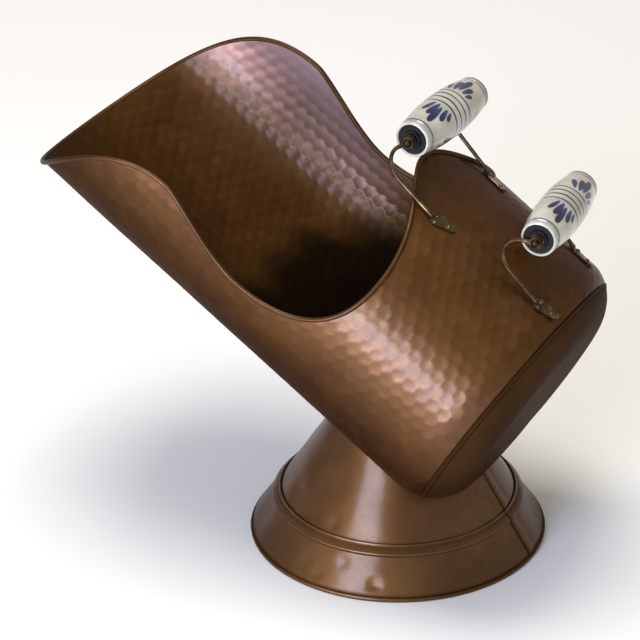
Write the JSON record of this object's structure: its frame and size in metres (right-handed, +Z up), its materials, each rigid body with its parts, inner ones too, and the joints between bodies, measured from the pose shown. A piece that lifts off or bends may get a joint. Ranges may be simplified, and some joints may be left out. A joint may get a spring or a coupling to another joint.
{
  "type": "log holder",
  "caption": "Hammered copper log hod: an oval tube lying back on a flared foot, with a helmet mouth, a wired S-curved edge and riveted wire handles that carry turning porcelain grips.",
  "frame": {"origin": "centre of the foot's base, on the floor", "axes": "+Z up, -Y toward the mouth, X across; X = 0 is the plane of symmetry"},
  "size_m": [0.258, 0.4672, 0.3985],
  "materials": {
    "hammered_copper": "aged hammered copper sheet, satin, unlacquered",
    "smooth_copper": "aged smooth copper sheet, satin with brown patina",
    "aged_brass": "dull aged brass wire",
    "glazed_porcelain": "glossy white glaze with blue painted petals and rings",
    "black_plug": "matt black moulded end plug"
  },
  "bodies": {
    "hod": {"body_shell": "hammered_copper", "rim_wire": "hammered_copper", "back_pan": "smooth_copper", "foot_cone": "smooth_copper", "foot_flare": "smooth_copper", "foot_hem": "smooth_copper", "handle_rivets": "aged_brass", "rod_washers": "aged_brass", "front_rod": "aged_brass", "front_arm_right": "aged_brass", "front_arm_left": "aged_brass", "rear_rod": "aged_brass", "rear_arm_right": "aged_brass", "rear_arm_left": "aged_brass"},
    "front_roll": {"front_grip": "glazed_porcelain", "front_plug_right": "black_plug", "front_plug_left": "black_plug"},
    "rear_roll": {"rear_grip": "glazed_porcelain", "rear_plug_right": "black_plug", "rear_plug_left": "black_plug"}
  },
  "joints": [
    {"name": "front_grip_turn", "type": "hinge", "parent": "hod", "child": "front_roll", "pos_m": [-0.005, 0.0359, 0.3795], "axis": [0.9993, -0.0285, 0.0233], "continuous": true},
    {"name": "rear_grip_turn", "type": "hinge", "parent": "hod", "child": "rear_roll", "pos_m": [-0.01, 0.13556, 0.31554], "axis": [0.9944, 0.1044, 0.0178], "continuous": true}
  ]
}
